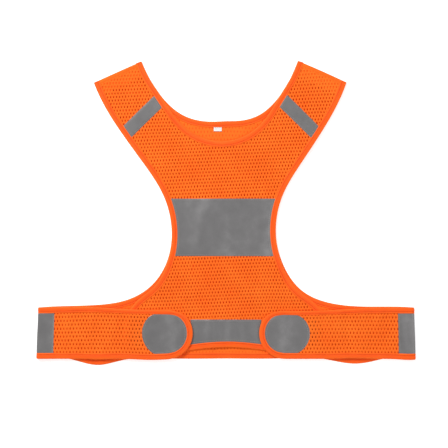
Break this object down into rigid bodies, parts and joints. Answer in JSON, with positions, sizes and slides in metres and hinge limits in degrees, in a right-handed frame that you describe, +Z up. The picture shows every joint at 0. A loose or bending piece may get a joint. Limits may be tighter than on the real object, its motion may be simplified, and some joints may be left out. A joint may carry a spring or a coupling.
{
  "type": "high visibility vest",
  "caption": "Mesh reflective vest with an open neck and arm holes, side belts that fold round from the back and fasten over the front with round hook-and-loop tabs.",
  "frame": {"origin": "middle of the vest's underside as it lies flat, on the surface it lies on", "axes": "+X to the right as seen from above with the neck up, +Y towards the neck, +Z up out of the surface, through the front"},
  "size_m": [0.5688, 0.4545, 0.0072],
  "materials": {
    "mesh": "open knitted mesh, fluorescent orange",
    "binding": "woven binding tape, stitched",
    "reflective": "silver-grey retroreflective fabric, soft sheen",
    "loop": "brushed loop pile",
    "hook": "moulded hooks",
    "label": "woven satin"
  },
  "bodies": {
    "torso": {"back_hem_binding": "binding", "back_neck_binding": "binding", "back_panel": "mesh", "back_reflector": "reflective", "back_side_binding_left": "binding", "back_side_binding_right": "binding", "chest_reflector": "reflective", "fold_bottom_binding_left": "binding", "fold_bottom_binding_right": "binding", "fold_panel_left": "mesh", "fold_panel_right": "mesh", "fold_reflector_left": "reflective", "fold_reflector_right": "reflective", "fold_top_binding_left": "binding", "fold_top_binding_right": "binding", "front_hem_binding": "binding", "front_neck_binding": "binding", "front_panel": "mesh", "front_side_binding_left": "binding", "front_side_binding_right": "binding", "hem_reflector": "reflective", "loop_pad_left": "loop", "loop_pad_right": "loop", "shoulder_reflector_left": "reflective", "shoulder_reflector_right": "reflective", "shoulder_seam_left": "mesh", "shoulder_seam_right": "mesh", "wing_reflector_left": "reflective", "wing_reflector_right": "reflective"},
    "belt_left": {"belt_bottom_binding_left": "binding", "belt_panel_left": "mesh", "belt_reflector_left": "reflective", "belt_top_binding_left": "binding"},
    "belt_right": {"belt_bottom_binding_right": "binding", "belt_panel_right": "mesh", "belt_reflector_right": "reflective", "belt_top_binding_right": "binding"},
    "tab_left": {"hook_pad_left": "hook", "tab_binding_left": "binding", "tab_panel_left": "mesh", "tab_reflector_left": "reflective"},
    "tab_right": {"hook_pad_right": "hook", "tab_binding_right": "binding", "tab_panel_right": "mesh", "tab_reflector_right": "reflective"},
    "size_label": {"size_label": "label"}
  },
  "joints": [
    {"name": "belt_left_open", "type": "hinge", "parent": "torso", "child": "belt_left", "pos_m": [-0.2808, -0.18, 0.0036], "axis": [0, -1, 0], "range_deg": [0, 180], "deforming": ["fold_bottom_binding_left", "fold_panel_left", "fold_reflector_left", "fold_top_binding_left"]},
    {"name": "tab_left_peel", "type": "hinge", "parent": "belt_left", "child": "tab_left", "pos_m": [-0.13, -0.18, 0.0072], "axis": [0, 1, 0], "range_deg": [-70, 0]},
    {"name": "belt_right_open", "type": "hinge", "parent": "torso", "child": "belt_right", "pos_m": [0.2808, -0.18, 0.0036], "axis": [0, 1, 0], "range_deg": [0, 180], "deforming": ["fold_bottom_binding_right", "fold_panel_right", "fold_reflector_right", "fold_top_binding_right"]},
    {"name": "tab_right_peel", "type": "hinge", "parent": "belt_right", "child": "tab_right", "pos_m": [0.13, -0.18, 0.0072], "axis": [0, -1, 0], "range_deg": [-70, 0]},
    {"name": "size_label_flip", "type": "hinge", "parent": "torso", "child": "size_label", "pos_m": [-0.0124, 0.127, 0.0018], "axis": [-1, 0, 0], "range_deg": [0, 100]}
  ]
}
